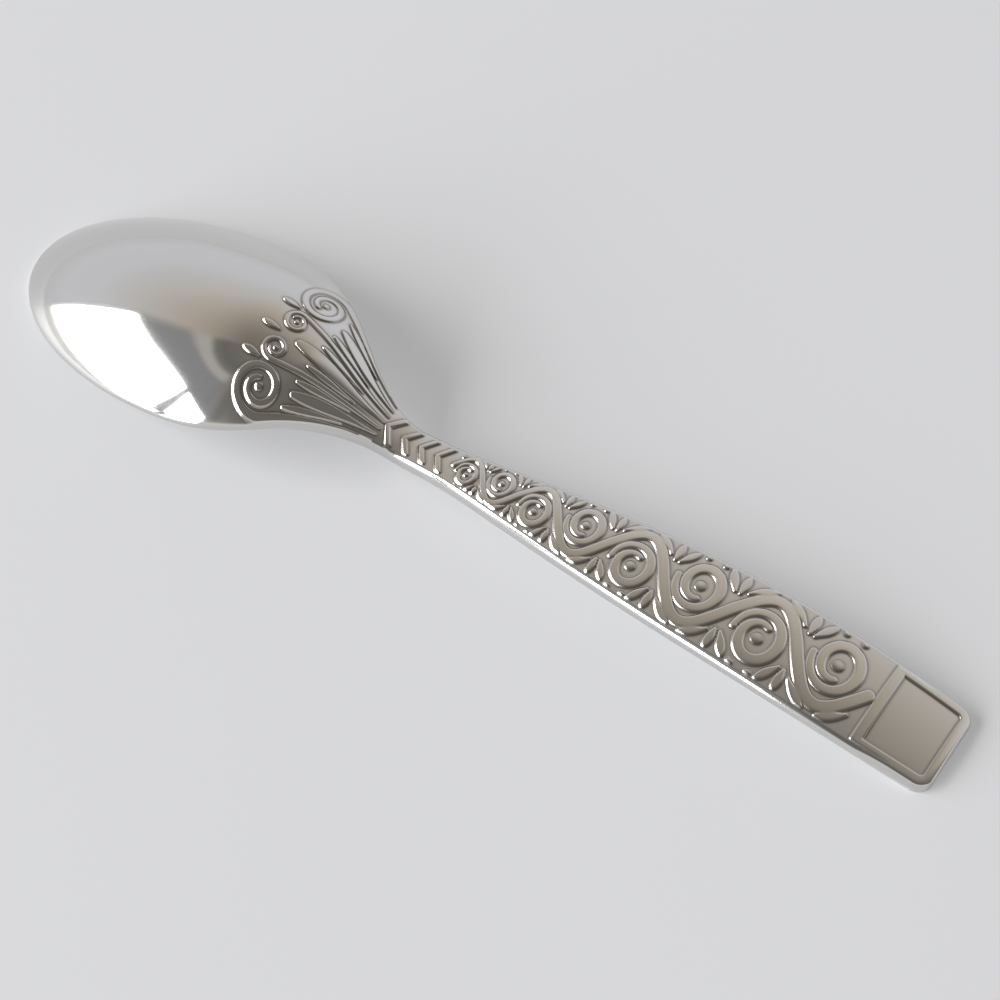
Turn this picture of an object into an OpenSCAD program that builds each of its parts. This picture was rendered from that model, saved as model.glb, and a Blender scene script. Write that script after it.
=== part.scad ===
// Demitasse spoon lying face down: a dished bowl, a slim neck and a broad handle,
// with a low coined relief on the bowl's heel and on the handle's back.
// Millimetres, +Z up, +X from the bowl's tip to the handle's end, table at z = 0.

/* [Overall] */
// Length from the bowl's tip to the handle's end
overall_length = 110; // [100:1:125]

/* [Bowl] */
// Width of the bowl at its widest place
bowl_width = 24.5; // [20:0.1:30]
// Distance from the tip to the widest place
widest_at = 21.6; // [18:0.1:26]
// Distance from the tip to the narrowest place
neck_at = 48; // [46:0.5:54]
// Height of the bowl's back above the top of its rim
bowl_rise = 6.4; // [4.5:0.1:8]
// Metal thickness at the deepest place of the bowl
bowl_wall = 1.2; // [0.8:0.1:1.8]
// Width of the rim's lower face
rim_land = 1.0; // [0.7:0.1:1.5]
// Height of the rim's outer edge
rim_edge = 0.6; // [0.4:0.1:1]
// Fullness of the shoulders, higher is fuller
shoulder_full = 2.75; // [2:0.05:3]
// Sharpness of the turn into the neck
shoulder_turn = 2.9; // [2.2:0.1:3.4]
// Lean of the rim against the table, in degrees
rim_lean = 9.1; // [7:0.1:11]
// Depth of the worn flat under the tip
tip_wear = 0.2; // [0.1:0.05:0.4]
// Metal left between the hollow and the neck
hollow_stop = 3; // [2:0.5:4]

/* [Neck] */
// Width of the neck at its narrowest place
neck_width = 4.2; // [3.4:0.1:5]
// Thickness of the neck's edge
neck_thickness = 1.65; // [1.3:0.05:2.2]
// Length of the neck towards the bowl
neck_to_bowl = 5; // [4:0.5:6]
// Length of the neck towards the handle
neck_to_handle = 4; // [3:0.5:6]
// Softness of the turn from the neck's sides into the handle's
neck_blend = 0.5; // [0.2:0.1:0.8]

/* [Handle] */
// Width of the handle at its widest place
handle_width = 11; // [9:0.1:13]
// Distance from the end to the handle's widest place
handle_wide_back = 14; // [10:0.5:18]
// Width that the handle's curved sides run to at the neck
handle_root = 2.7; // [1.8:0.1:3.2]
// Thickness of the handle's end
end_thickness = 1.2; // [1.1:0.05:1.6]
// Height of the arch under the handle
arch_height = 2.4; // [1.8:0.1:3]
// Distance from the end to the top of the arch
arch_back = 28; // [24:1:32]
// Length of the arch towards the bowl
arch_front = 44; // [42:1:55]
// Length of the flat that the end rests on
foot_length = 3; // [2:0.5:4]
// Radius of the end's corners in plan
corner_radius = 1.5; // [0.8:0.1:2.5]
// Bevel along the handle's upper edges
upper_bevel = 0.3; // [0.2:0.05:0.4]
// Chamfer along the handle's lower edges
lower_chamfer = 0.3; // [0.2:0.05:0.4]
// Share of the bowl's roundness kept on the handle's back
handle_crown = 0.27; // [0.1:0.01:0.35]

/* [Relief] */
// Height of the raised work
relief_height = 0.2; // [0.15:0.05:0.3]
// Width of the sloped edge of each raised line
relief_slope = 0.12; // [0.05:0.01:0.16]
// Distance from the neck's end to the vine's start
vine_lead = 0.6; // [0.4:0.1:2]
// Length of one bend of the vine, in handle half-widths
vine_pitch = 1.5; // [1.4:0.02:1.7]
// Swing of the vine, in handle half-widths
vine_swing = 0.74; // [0.68:0.02:0.78]
// Half the width of the vine, in handle half-widths
vine_half = 0.13; // [0.06:0.01:0.14]
// Outer radius of a scroll, in handle half-widths
scroll_radius = 0.52; // [0.46:0.01:0.53]
// Radius at a scroll's inner end, in handle half-widths
scroll_eye = 0.27; // [0.24:0.01:0.3]
// Turns of a scroll
scroll_turns = 1.3; // [1:0.05:1.4]
// Half the width of a scroll's line, in handle half-widths
scroll_half = 0.12; // [0.06:0.005:0.125]
// Height of a scroll as a share of its length
scroll_stretch = 1.2; // [1.1:0.05:1.25]
// Distance of a scroll from the middle line, in handle half-widths
scroll_offset = 0.2; // [0.16:0.01:0.22]
// Half the width of a leaflet beside the vine, in handle half-widths
leaflet_half = 0.095; // [0.05:0.005:0.1]
// Half the width of a drop at the vine's crossings, in handle half-widths
sprig_half = 0.095; // [0.05:0.005:0.1]
// Radius of the pearl in a scroll, in handle half-widths
pearl_radius = 0.14; // [0.08:0.01:0.15]
// Radius of a pearl along the edge, in handle half-widths
bead_radius = 0.085; // [0.05:0.005:0.09]
// Length of the bare panel at the handle's end
panel_length = 8.5; // [7:0.5:12]
// Width of the panel's raised frame
frame_width = 0.9; // [0.6:0.05:1.2]
// Distance from the handle's edge to the frame
frame_inset = 0.15; // [0.1:0.05:0.4]
// Number of chevrons on the neck
chevron_count = 4; // [3:1:5]
// Half the width of a chevron's line
chevron_half = 0.3; // [0.2:0.01:0.32]
// Distance from the tip to the palmette's front
palm_front = 29.7; // [29.2:0.1:30.2]
// Distance from the tip to the middle leaf's front
leaf_front = 34; // [33.8:0.1:36]
// Half the width of the middle leaf, in local half-widths
leaf_half = 0.11; // [0.06:0.01:0.12]
// Distance from the tip to the front of the two side leaves
side_leaf_front = 36.3; // [36.1:0.1:38]
// Half the width of a side leaf, in local half-widths
side_leaf_half = 0.1; // [0.05:0.01:0.11]
// Distance from the tip to the place where an outer stem starts to curl
volute_from = 34.4; // [34.2:0.1:34.8]
// Radius of an outer curl
volute_radius = 2.55; // [2.2:0.05:2.6]
// Half the width of an outer curl's line
volute_half = 0.42; // [0.25:0.01:0.44]
// Distance from the tip to the place where an inner stem starts to curl
heart_from = 32.6; // [32.3:0.1:33]
// Radius of an inner curl
heart_radius = 1.25; // [1:0.05:1.3]
// Half the width of an inner curl's line
heart_half = 0.26; // [0.15:0.01:0.28]
// Half the width of the drops at the palmette's front
fringe_half = 0.36; // [0.2:0.02:0.4]

/* [Hidden] */
steel = [0.78, 0.76, 0.73];
bright_steel = [0.86, 0.85, 0.83];

bowl_half_w = bowl_width / 2;
neck_half_w = neck_width / 2;
handle_half_w = handle_width / 2;
handle_root_half = handle_root / 2;
bowl_end = neck_at - neck_to_bowl;
neck_end = neck_at + neck_to_handle;
handle_wide_at = overall_length - handle_wide_back;
arch_at = overall_length - arch_back;
arch_rear = arch_back - foot_length;
rim_slope = tan(rim_lean);
bowl_arc = (pow(bowl_half_w, 2) - pow(bowl_rise, 2)) / (2 * bowl_rise);
hollow_share = (bowl_rise + rim_edge - bowl_wall) / bowl_rise;
shoulder_at = (widest_at + neck_at) / 2;
panel_at = overall_length - panel_length;
palm_overlap = 1;
palm_root = bowl_end + palm_overlap;
side_leaf = 0.61;
slip_root = 41;
slip_front = 36;
slip_half = 0.05;
slip_out = 0.18;
slip_apart = 0.18;
volute_out = 0.925;
volute_eye = 0.85;
heart_out = 0.315;
heart_eye = 0.6;
volute_turns = 1.5;
heart_turns = 1.2;
stem_half = 0.055;
curl_pearl = 0.5;
rise_step = 0.1;
fringe_root = 31.5;
fringe_out = 3.5;
sprig_low = 0.48;
sprig_high = 0.9;
sprig_apart = 0.12;
sprig_lean = 0.26;
bead_out = 0.905;
bead_apart = 0.2;
leaf_swell_from = 25;
leaf_swell_turn = 130;
leaf_swell_late = 1.3;
leaflet_from = 0.1;
leaflet_to = 0.4;
leaflet_low = 0.57;
leaflet_high = 0.92;
leaflet_rise = 0.8;
chevron_lead = 0.3;
line_end_share = 0.6;
line_sides = 4;
sharp_share = 1 / 3;
fan_power = 1.35;
rest_cut = 4;
front_steps = 12;
back_steps = 18;
ring_steps = 14;
hollow_steps = 11;
cut_steps = 4;
section_steps = 8;
neck_steps = 12;
handle_steps = 40;
end_steps = 5;
spiral_steps = 24;
bend_steps = 12;
leaf_steps = 9;
drop_steps = 6;
frame_steps = 10;
corner_steps = 5;
pearl_sides = 10;
pearl_shoulder = 0.72;
bead_level = 0.7;

// Plan outline

function clamp01(t) = min(1, max(0, t));
function smooth(t) = let(c = clamp01(t)) c * c * (3 - 2 * c);
function soft_max(a, b, s) = (a + b + sqrt(pow(a - b, 2) + s * s)) / 2;

// Half the width of the bowl's own outline, x from the tip
function bowl_half(x) =
    x <= widest_at ? bowl_half_w * sqrt(max(0, 1 - pow((widest_at - x) / widest_at, 2)))
    : neck_half_w + (bowl_half_w - neck_half_w)
        * pow(1 - pow(clamp01((x - widest_at) / (neck_at - widest_at)), shoulder_full), shoulder_turn);

// Half the width of the handle's curved sides
function side_half(x) =
    handle_half_w - (handle_half_w - handle_root_half)
        * pow((handle_wide_at - x) / (handle_wide_at - neck_at), 2);

// Loss of half-width where the end's corners are rounded
function corner_loss(x) =
    let(d = clamp01((x - overall_length + corner_radius) / corner_radius))
    corner_radius * (1 - sqrt(1 - d * d));

function half_width(x) = soft_max(bowl_half(x), side_half(x), neck_blend) - corner_loss(x);

// Side profile

function rim_z(x) = rim_slope * x - tip_wear;
function arch_z(x) = arch_height * (1 - pow((x - arch_at) / (x < arch_at ? arch_front : arch_rear), 2));
function to_handle(x) = smooth((x - shoulder_at) / (neck_at - shoulder_at));
function under_z(x) = rim_z(x) + (arch_z(x) - rim_z(x)) * to_handle(x);

function edge_height(x) =
    let(u = clamp01((x - neck_at) / (overall_length - neck_at)))
    let(t = neck_thickness + (end_thickness - neck_thickness) * u)
    rim_edge + (t - rim_edge) * to_handle(x);

// Roundness of the back above its edges
function crown(x, y) =
    let(round_left = pow(clamp01((arch_at - x) / (arch_at - bowl_end)), 2))
    let(share = handle_crown + (1 - handle_crown) * round_left)
    let(room = max(0, pow(half_width(x), 2) - y * y))
    share * (sqrt(pow(bowl_arc, 2) + room) - bowl_arc);
function back_z(x, y) = under_z(x) + edge_height(x) + crown(x, y);

// Moves a point from the tip's frame to the part's frame, centred on its length
function set_at(x, y, z) = [x - overall_length / 2, y, z];
function on_back(p, lift = 0) = set_at(p[0], p[1], back_z(p[0], p[1]) + lift);

// Closed solids from rings of points: ring 0 is the first end, the last ring the other end

function ring_faces(rings, n) = [
    for (k = [0 : rings - 2])
        for (i = [0 : n - 1])
            [k * n + i, k * n + (i + 1) % n, (k + 1) * n + (i + 1) % n, (k + 1) * n + i]
];
function cap(first, n) = [for (i = [0 : n - 1]) first + i];
function turned(faces) = [for (f = faces) [for (i = [len(f) - 1 : -1 : 0]) f[i]]];

module rest_flat() {
    difference() {
        children();
        translate([-overall_length, -overall_length, -rest_cut])
            cube([2 * overall_length, 2 * overall_length, rest_cut]);
    }
}

// Bowl: a fan of rings about the widest place, above for the back and below for the hollow

side_stations = concat(
    [for (i = [1 : front_steps]) widest_at * (1 - cos(90 * i / front_steps))],
    [for (i = [1 : back_steps]) widest_at + (bowl_end - widest_at) * i / back_steps]
);
joint_half = half_width(bowl_end);
bowl_outline = concat(
    [[0, 0]],
    [for (x = side_stations) [x, -half_width(x)]],
    [for (i = [1 : cut_steps - 1]) [bowl_end, joint_half * (2 * i / cut_steps - 1)]],
    [for (i = [len(side_stations) - 1 : -1 : 0]) [side_stations[i], half_width(side_stations[i])]]
);
outline_count = len(bowl_outline);
fan_centre = [widest_at, 0];

function along(p, share) = fan_centre + (p - fan_centre) * share;
function land_at(x) = rim_land + (hollow_stop - rim_land) * to_handle(x);
function hollow_edge(p) = along(p, 1 - land_at(p[0]) / norm(p - fan_centre));
function hollow_point(p, share) =
    let(q = along(hollow_edge(p), share))
    let(o = along(p, share))
    set_at(q[0], q[1], under_z(q[0]) + (share < 1 ? hollow_share * crown(o[0], o[1]) : 0));

function ring_share(k, steps) = 1 - pow(1 - k / steps, fan_power);

module bowl() {
    n = outline_count;
    back = [
        for (k = [1 : ring_steps])
            each [for (p = bowl_outline) on_back(along(p, ring_share(k, ring_steps)))]
    ];
    land = [for (p = bowl_outline) set_at(p[0], p[1], under_z(p[0]))];
    hollow = [
        for (k = [hollow_steps : -1 : 1])
            each [for (p = bowl_outline) hollow_point(p, ring_share(k, hollow_steps))]
    ];
    crest = [on_back(fan_centre)];
    deep = [set_at(widest_at, 0, under_z(widest_at) + hollow_share * crown(widest_at, 0))];
    rings = ring_steps + 1 + hollow_steps;
    last = (rings - 1) * n;
    color(steel)
        rest_flat()
            polyhedron(
                points = concat(back, land, hollow, crest, deep),
                faces = concat(
                    [for (i = [0 : n - 1]) [rings * n, (i + 1) % n, i]],
                    [for (f = ring_faces(rings, n)) f],
                    [for (i = [0 : n - 1]) [rings * n + 1, last + i, last + (i + 1) % n]]
                )
            );
}

// Neck and handle: sections across the length, the first one shared with the piece before

function from_joint(x) = clamp01((x - bowl_end) / neck_to_bowl);
function bevel_at(x) = upper_bevel * from_joint(x);
function top_half(x) = half_width(x) - bevel_at(x);

function top_line(x) = [
    for (i = [0 : section_steps])
        let(y = (half_width(x) - upper_bevel) * (1 - 2 * i / section_steps))
        set_at(x, y, back_z(x, y))
];

function section(x) =
    let(w = half_width(x), low = under_z(x))
    let(c = lower_chamfer * from_joint(x), shoulder = back_z(x, w) - bevel_at(x))
    concat(
        top_line(x),
        [set_at(x, -w, shoulder), set_at(x, -w, low + c), set_at(x, c - w, low)],
        [set_at(x, w - c, low), set_at(x, w, low + c), set_at(x, w, shoulder)]
    );

function joint_section(x) =
    let(w = half_width(x), low = under_z(x), shoulder = back_z(x, w))
    concat(
        top_line(x),
        [set_at(x, -w, shoulder), set_at(x, -w, low), set_at(x, -w / 2, low)],
        [set_at(x, w / 2, low), set_at(x, w, low), set_at(x, w, shoulder)]
    );

function tube_faces(rings, n) =
    concat([cap(0, n)], turned(ring_faces(rings, n)), turned([cap((rings - 1) * n, n)]));

module swept(sections) {
    n = len(sections[0]);
    polyhedron(
        points = [for (s = sections) each s],
        faces = tube_faces(len(sections), n)
    );
}

module neck() {
    stations = [for (i = [1 : neck_steps]) bowl_end + (neck_end - bowl_end) * i / neck_steps];
    color(steel)
        swept(concat([joint_section(bowl_end)], [for (x = stations) section(x)]));
}

module handle() {
    straight_end = overall_length - corner_radius;
    stations = concat(
        [for (i = [0 : handle_steps]) neck_end + (straight_end - neck_end) * i / handle_steps],
        [for (i = [1 : end_steps]) straight_end + corner_radius * sin(90 * i / end_steps)]
    );
    color(steel)
        rest_flat()
            swept([for (x = stations) section(x)]);
}

// Relief: a line is a list of [x, y, half-width], a bead is [x, y, radius]

function xy(p) = [p[0], p[1]];
function line_normal(line, i, closed) =
    let(n = len(line))
    let(a = closed ? line[(i + n - 1) % n] : line[max(0, i - 1)])
    let(b = closed ? line[(i + 1) % n] : line[min(n - 1, i + 1)])
    let(d = xy(b) - xy(a))
    [-d[1], d[0]] / norm(d);

function line_points(line, closed) = [
    for (i = [0 : len(line) - 1])
        let(p = line[i], m = line_normal(line, i, closed))
        let(wide = p[2], slim = max(p[2] - relief_slope, p[2] * sharp_share))
        each [
            on_back(xy(p) + m * wide),
            on_back(xy(p) + m * slim, relief_height),
            on_back(xy(p) - m * slim, relief_height),
            on_back(xy(p) - m * wide)
        ]
];

function shifted(faces, by) = [for (f = faces) [for (v = f) v + by]];
function loop_faces(n) = [
    for (i = [0 : n - 1])
        for (j = [0 : line_sides - 1])
            let(a = i * line_sides, b = (i + 1) % n * line_sides, next = (j + 1) % line_sides)
            [b + j, b + next, a + next, a + j]
];
function starts(lists, size) = [
    for (k = 0, s = 0; k < len(lists); s = s + size * len(lists[k]), k = k + 1)
        s
];

module raised_lines(lines) {
    first = starts(lines, line_sides);
    polyhedron(
        points = [for (l = lines) each line_points(l, false)],
        faces = [
            for (k = [0 : len(lines) - 1])
                each shifted(tube_faces(len(lines[k]), line_sides), first[k])
        ]
    );
}

module raised_loop(line) {
    polyhedron(points = line_points(line, true), faces = loop_faces(len(line)));
}

function bead_ring(b, share, lift) = [
    for (i = [0 : pearl_sides - 1])
        let(a = 360 * i / pearl_sides)
        on_back([b[0] + b[2] * share * cos(a), b[1] + b[2] * share * sin(a)], lift)
];
function bead_points(b) =
    concat(
        bead_ring(b, 1, 0),
        bead_ring(b, pearl_shoulder, bead_level * relief_height),
        [on_back(xy(b), relief_height)]
    );
function bead_faces(n) =
    concat(
        [cap(0, n)],
        turned(ring_faces(2, n)),
        [for (i = [0 : n - 1]) [n + (i + 1) % n, n + i, 2 * n]]
    );

module raised_beads(beads) {
    size = 2 * pearl_sides + 1;
    polyhedron(
        points = [for (b = beads) each bead_points(b)],
        faces = [for (k = [0 : len(beads) - 1]) each shifted(bead_faces(pearl_sides), k * size)]
    );
}

// Vine: its bends grow with the handle's width

function vine_next(x) = x + vine_pitch * top_half(x + vine_pitch * top_half(x) / 2);
function vine_run(x, last) = x > last ? [] : concat([x], vine_run(vine_next(x), last));
vine_from = neck_end + vine_lead;
vine_to = panel_at - frame_width;
bends = vine_run(vine_from, vine_to);
bend_count = len(bends) - 1;
vine_stretch = (vine_to - vine_from) / (bends[bend_count] - vine_from);
knots = [for (x = bends) vine_from + (x - vine_from) * vine_stretch];

function bend_mid(k) = (knots[k] + knots[k + 1]) / 2;
function bend_scale(k) = min(top_half(bend_mid(k)), (knots[k + 1] - knots[k]) / vine_pitch);
function bend_side(k) = k % 2 == 0 ? 1 : -1;

function vine_point(k, t) =
    let(x = knots[k] + (knots[k + 1] - knots[k]) * t)
    [x, bend_side(k) * vine_swing * top_half(x) * sin(180 * t), vine_half * top_half(x)];

module vine() {
    line = concat(
        [
            for (k = [0 : bend_count - 1])
                each [for (i = [0 : bend_steps - 1]) vine_point(k, i / bend_steps)]
        ],
        [vine_point(bend_count - 1, 1)]
    );
    color(bright_steel)
        raised_lines([line]);
}

function scroll_line(x, y, scale, from, side) = [
    for (i = [0 : spiral_steps])
        let(t = i / spiral_steps)
        let(r = scale * (scroll_radius + (scroll_eye - scroll_radius) * t))
        let(a = from - side * 360 * scroll_turns * t)
        let(half = scroll_half * (line_end_share + (1 - line_end_share) * sin(180 * t)))
        [x + r * cos(a), y + scroll_stretch * r * sin(a), scale * half]
];

module scrolls() {
    color(bright_steel)
        raised_lines([
            for (k = [0 : bend_count - 1])
                let(s = bend_scale(k))
                scroll_line(bend_mid(k), -bend_side(k) * scroll_offset * s, s, 180, bend_side(k))
        ]);
}

// Leaflets: two on the outer side of each bend of the vine, and two drops on each edge at its crossings

function leaf_swell(t) = sin(leaf_swell_from + leaf_swell_turn * pow(t, leaf_swell_late));

function leaflet_line(k, dir) = [
    for (i = [0 : leaf_steps])
        let(u = i / leaf_steps)
        let(t = leaflet_from + (leaflet_to - leaflet_from) * u)
        let(x = bend_mid(k) + dir * (0.5 - t) * (knots[k + 1] - knots[k]))
        let(v = leaflet_low + (leaflet_high - leaflet_low) * pow(u, leaflet_rise))
        [x, bend_side(k) * v * top_half(x), leaflet_half * top_half(x) * leaf_swell(u)]
];

function drop_line(a, b, half) = [
    for (i = [0 : drop_steps])
        let(t = i / drop_steps)
        let(p = a + (b - a) * t)
        [p[0], p[1], half * leaf_swell(t)]
];

function sprig(k, side) =
    let(x = knots[k], w = top_half(x), way = -bend_side(k) * side * w)
    let(low = side * sprig_low * w, high = side * sprig_high * w)
    let(near = x + way * sprig_apart, far = near + way * sprig_lean)
    [
        drop_line([x, low], [x, high], sprig_half * w),
        drop_line([near, low], [far, high], sprig_half * w)
    ];

module leaflets() {
    color(bright_steel)
        raised_lines(concat(
            [for (k = [0 : bend_count - 1]) for (dir = [-1, 1]) leaflet_line(k, dir)],
            [for (k = [1 : bend_count - 1]) for (side = [-1, 1]) each sprig(k, side)]
        ));
}

// Palmette: leaves on the bowl's heel, between two pairs of stems that curl inwards

function heel_leaf(from, to, place, half) = [
    for (i = [0 : leaf_steps])
        let(t = i / leaf_steps)
        let(x = from + (to - from) * t)
        let(w = top_half(x))
        [x, place * w, half * w * leaf_swell(t)]
];
function heel_slip(place) = heel_leaf(slip_root, slip_front, place, slip_half);
function fringe_drop(y) = drop_line([fringe_root, y], [palm_front, y], fringe_half);

function stem_rise(from, out) = atan2(out * (top_half(from - rise_step) - top_half(from)), rise_step);
function curl_middle(from, out, radius) =
    let(rise = stem_rise(from, out))
    [from - radius * sin(rise), out * top_half(from) - radius * cos(rise)];
function curl_stem(from, out, half) = [
    for (i = [0 : bend_steps - 1])
        let(x = palm_root + (from - palm_root) * i / bend_steps)
        let(w = top_half(x))
        [x, out * w, min(half, stem_half * w)]
];
function curl_coil(from, out, radius, eye, half, turns) =
    let(middle = curl_middle(from, out, radius), start = 90 - stem_rise(from, out))
    [
        for (i = [0 : spiral_steps])
            let(t = i / spiral_steps)
            let(r = radius + (eye - radius) * t)
            let(a = start + 360 * turns * t)
            let(wide = half * (1 + (line_end_share - 1) * t))
            [middle[0] + r * cos(a), middle[1] + r * sin(a), wide]
    ];
function mirrored(line, side) = [for (p = line) [p[0], side * p[1], p[2]]];

volute = concat(
    curl_stem(volute_from, volute_out, volute_half),
    curl_coil(volute_from, volute_out, volute_radius, volute_eye, volute_half, volute_turns)
);
heart = concat(
    curl_stem(heart_from, heart_out, heart_half),
    curl_coil(heart_from, heart_out, heart_radius, heart_eye, heart_half, heart_turns)
);
half_palmette = [
    volute,
    heart,
    fringe_drop(fringe_out),
    heel_leaf(palm_root, side_leaf_front, side_leaf, side_leaf_half),
    heel_slip(slip_out),
    heel_slip(side_leaf - slip_apart),
    heel_slip(side_leaf + slip_apart)
];

module palmette() {
    color(bright_steel)
        raised_lines(concat(
            [heel_leaf(palm_root, leaf_front, 0, leaf_half), fringe_drop(0)],
            [for (side = [-1, 1]) for (line = half_palmette) mirrored(line, side)]
        ));
}

// Pearls: one in each scroll and each curl, and two along the edge beside each scroll

scroll_pearls = [
    for (k = [0 : bend_count - 1])
        let(s = bend_scale(k))
        [bend_mid(k), -bend_side(k) * scroll_offset * s, pearl_radius * s]
];
edge_pearls = [
    for (k = [0 : bend_count - 1])
        for (way = [-1, 1])
            let(x = bend_mid(k) + way * bead_apart * bend_scale(k))
            let(w = top_half(x))
            [x, -bend_side(k) * bead_out * w, bead_radius * w]
];
function curl_pearls(middle, radius) = [for (side = [-1, 1]) [middle[0], side * middle[1], radius]];

module pearls() {
    color(bright_steel)
        raised_beads(concat(
            scroll_pearls,
            edge_pearls,
            curl_pearls(curl_middle(volute_from, volute_out, volute_radius), curl_pearl * volute_eye),
            curl_pearls(curl_middle(heart_from, heart_out, heart_radius), curl_pearl * heart_eye)
        ));
}

// Chevrons on the neck

module chevrons() {
    run = (neck_end - palm_root) / chevron_count;
    color(bright_steel)
        raised_lines([
            for (k = [0 : chevron_count - 1])
                let(x = palm_root + run * (k + chevron_lead))
                let(w = top_half(x + run / 2) - chevron_half - frame_inset)
                [for (s = [-1 : 0.5 : 1]) [x + abs(s) * run / 2, s * w, chevron_half]]
        ]);
}

// Frame around the bare panel at the handle's end

module end_frame() {
    edge = frame_inset + frame_width / 2;
    round = max(corner_radius - edge, frame_width);
    far = overall_length - edge;
    near = panel_at + frame_width / 2;
    function side_y(x) = top_half(min(x, overall_length - corner_radius)) - edge;
    side = [
        for (i = [0 : frame_steps])
            let(x = near + (far - round - near) * i / frame_steps)
            [x, side_y(x), frame_width / 2]
    ];
    turn = [
        for (i = [1 : corner_steps])
            let(a = 90 * i / corner_steps)
            [far - round + round * sin(a), side_y(far) - round + round * cos(a), frame_width / 2]
    ];
    upper = concat(side, turn);
    lower = [for (i = [len(upper) - 1 : -1 : 0]) [upper[i][0], -upper[i][1], upper[i][2]]];
    color(bright_steel)
        raised_loop(concat(upper, lower));
}

bowl();
neck();
handle();
palmette();
chevrons();
vine();
scrolls();
leaflets();
pearls();
end_frame();
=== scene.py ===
"""Demitasse spoon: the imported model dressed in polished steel, face down on a pale table."""

import logging
import math
from dataclasses import dataclass
from enum import Enum
from typing import Any

import bmesh
import bpy
import numpy as np
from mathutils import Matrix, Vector


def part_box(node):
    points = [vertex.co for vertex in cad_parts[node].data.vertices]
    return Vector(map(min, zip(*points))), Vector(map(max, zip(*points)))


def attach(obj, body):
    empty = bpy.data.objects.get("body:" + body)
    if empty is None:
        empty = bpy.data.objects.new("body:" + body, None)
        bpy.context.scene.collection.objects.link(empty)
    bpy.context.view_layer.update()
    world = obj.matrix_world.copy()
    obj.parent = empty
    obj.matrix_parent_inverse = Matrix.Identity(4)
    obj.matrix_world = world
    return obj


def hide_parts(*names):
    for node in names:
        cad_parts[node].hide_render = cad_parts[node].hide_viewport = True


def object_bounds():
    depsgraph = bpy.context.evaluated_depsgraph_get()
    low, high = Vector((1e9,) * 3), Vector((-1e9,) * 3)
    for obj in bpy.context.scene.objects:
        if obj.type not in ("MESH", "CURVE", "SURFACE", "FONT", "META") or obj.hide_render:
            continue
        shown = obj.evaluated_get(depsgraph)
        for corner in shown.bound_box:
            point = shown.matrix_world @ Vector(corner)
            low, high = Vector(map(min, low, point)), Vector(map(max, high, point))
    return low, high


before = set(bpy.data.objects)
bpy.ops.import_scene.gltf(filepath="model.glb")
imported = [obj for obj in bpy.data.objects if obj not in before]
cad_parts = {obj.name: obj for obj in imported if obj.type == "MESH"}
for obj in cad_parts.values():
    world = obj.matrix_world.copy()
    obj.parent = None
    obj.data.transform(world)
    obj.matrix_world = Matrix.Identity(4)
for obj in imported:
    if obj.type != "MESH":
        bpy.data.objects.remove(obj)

MM = 0.001
SEAM_GAP = 0.0005
SHARP_ANGLE = math.radians(62.0)
CAD_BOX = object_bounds()

# Sockets of Blender's Mix node, which keeps a set of its own for each kind of value.
VALUE_A, VALUE_B = 2, 3
COLOUR_A, COLOUR_B, COLOUR_OUT = 6, 7, 2

Array = np.ndarray
Tones = tuple[tuple[float, str], ...]
log = logging.getLogger("spoon")


class Layer(Enum):
    """Vertex attributes that the steel's finish reads."""

    LIFT = "lift"
    # Share of the painted shade line at the foot of each raised edge.
    GROOVE_SHADE = "groove_shade"
    # Share of the coined field: its satin, and its colour painted lighter than the mirror.
    FIELD = "field"


class Zone(Enum):
    """Zones of the blank, with the CAD nodes that each visible piece stands for."""

    BOWL = ("bowl", "palmette")
    NECK = ("neck", "chevrons")
    HANDLE = ("handle", "vine", "scrolls", "leaflets", "pearls", "end_frame")


def smooth(t: Array) -> Array:
    """Eases from 0 to 1, flat at both ends."""
    c = np.clip(t, 0.0, 1.0)
    return c * c * (3.0 - 2.0 * c)


def mix(a: Array, b: Array, share: Array) -> Array:
    """Moves from a to b by a share."""
    return a + (b - a) * share


def arc_turn(start: Array, corner: Array, end: Array, count: int) -> list[Array]:
    """Rounds a corner between two points.

    Args:
        start: Points where the rounding begins.
        corner: The sharp corner, where both tangents meet.
        end: Points where the rounding ends.
        count: Number of steps.

    Returns:
        The points after start, the last one at end.
    """
    steps = np.linspace(0.0, 1.0, count + 1)[1:]
    return [(1 - t) ** 2 * start + 2 * t * (1 - t) * corner + t * t * end for t in steps]


def linear(code: str) -> tuple[float, float, float, float]:
    """Turns an sRGB hex code such as "#D4D1CE" into a linear colour."""
    parts = [int(code[i:i + 2], 16) / 255.0 for i in (1, 3, 5)]
    red, green, blue = (c / 12.92 if c <= 0.04045 else ((c + 0.055) / 1.055) ** 2.4 for c in parts)
    return red, green, blue, 1.0


def add_node(
    tree: bpy.types.NodeTree,
    kind: str,
    links: dict[str | int, bpy.types.NodeSocket] | None = None,
    values: dict[str | int, Any] | None = None,
    **settings: Any,
) -> bpy.types.Node:
    """Adds a node with its settings and links.

    Args:
        tree: Node tree that gets the node.
        kind: Blender's name of the node's type.
        links: Output sockets by the name or index of the input that each feeds.
        values: Constants by the name or index of the input.
        settings: Attributes of the node.

    Returns:
        The new node.
    """
    node = tree.nodes.new(kind)
    for name, value in settings.items():
        setattr(node, name, value)
    for key, value in (values or {}).items():
        node.inputs[key].default_value = value
    for key, socket in (links or {}).items():
        tree.links.new(socket, node.inputs[key])
    return node


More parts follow.
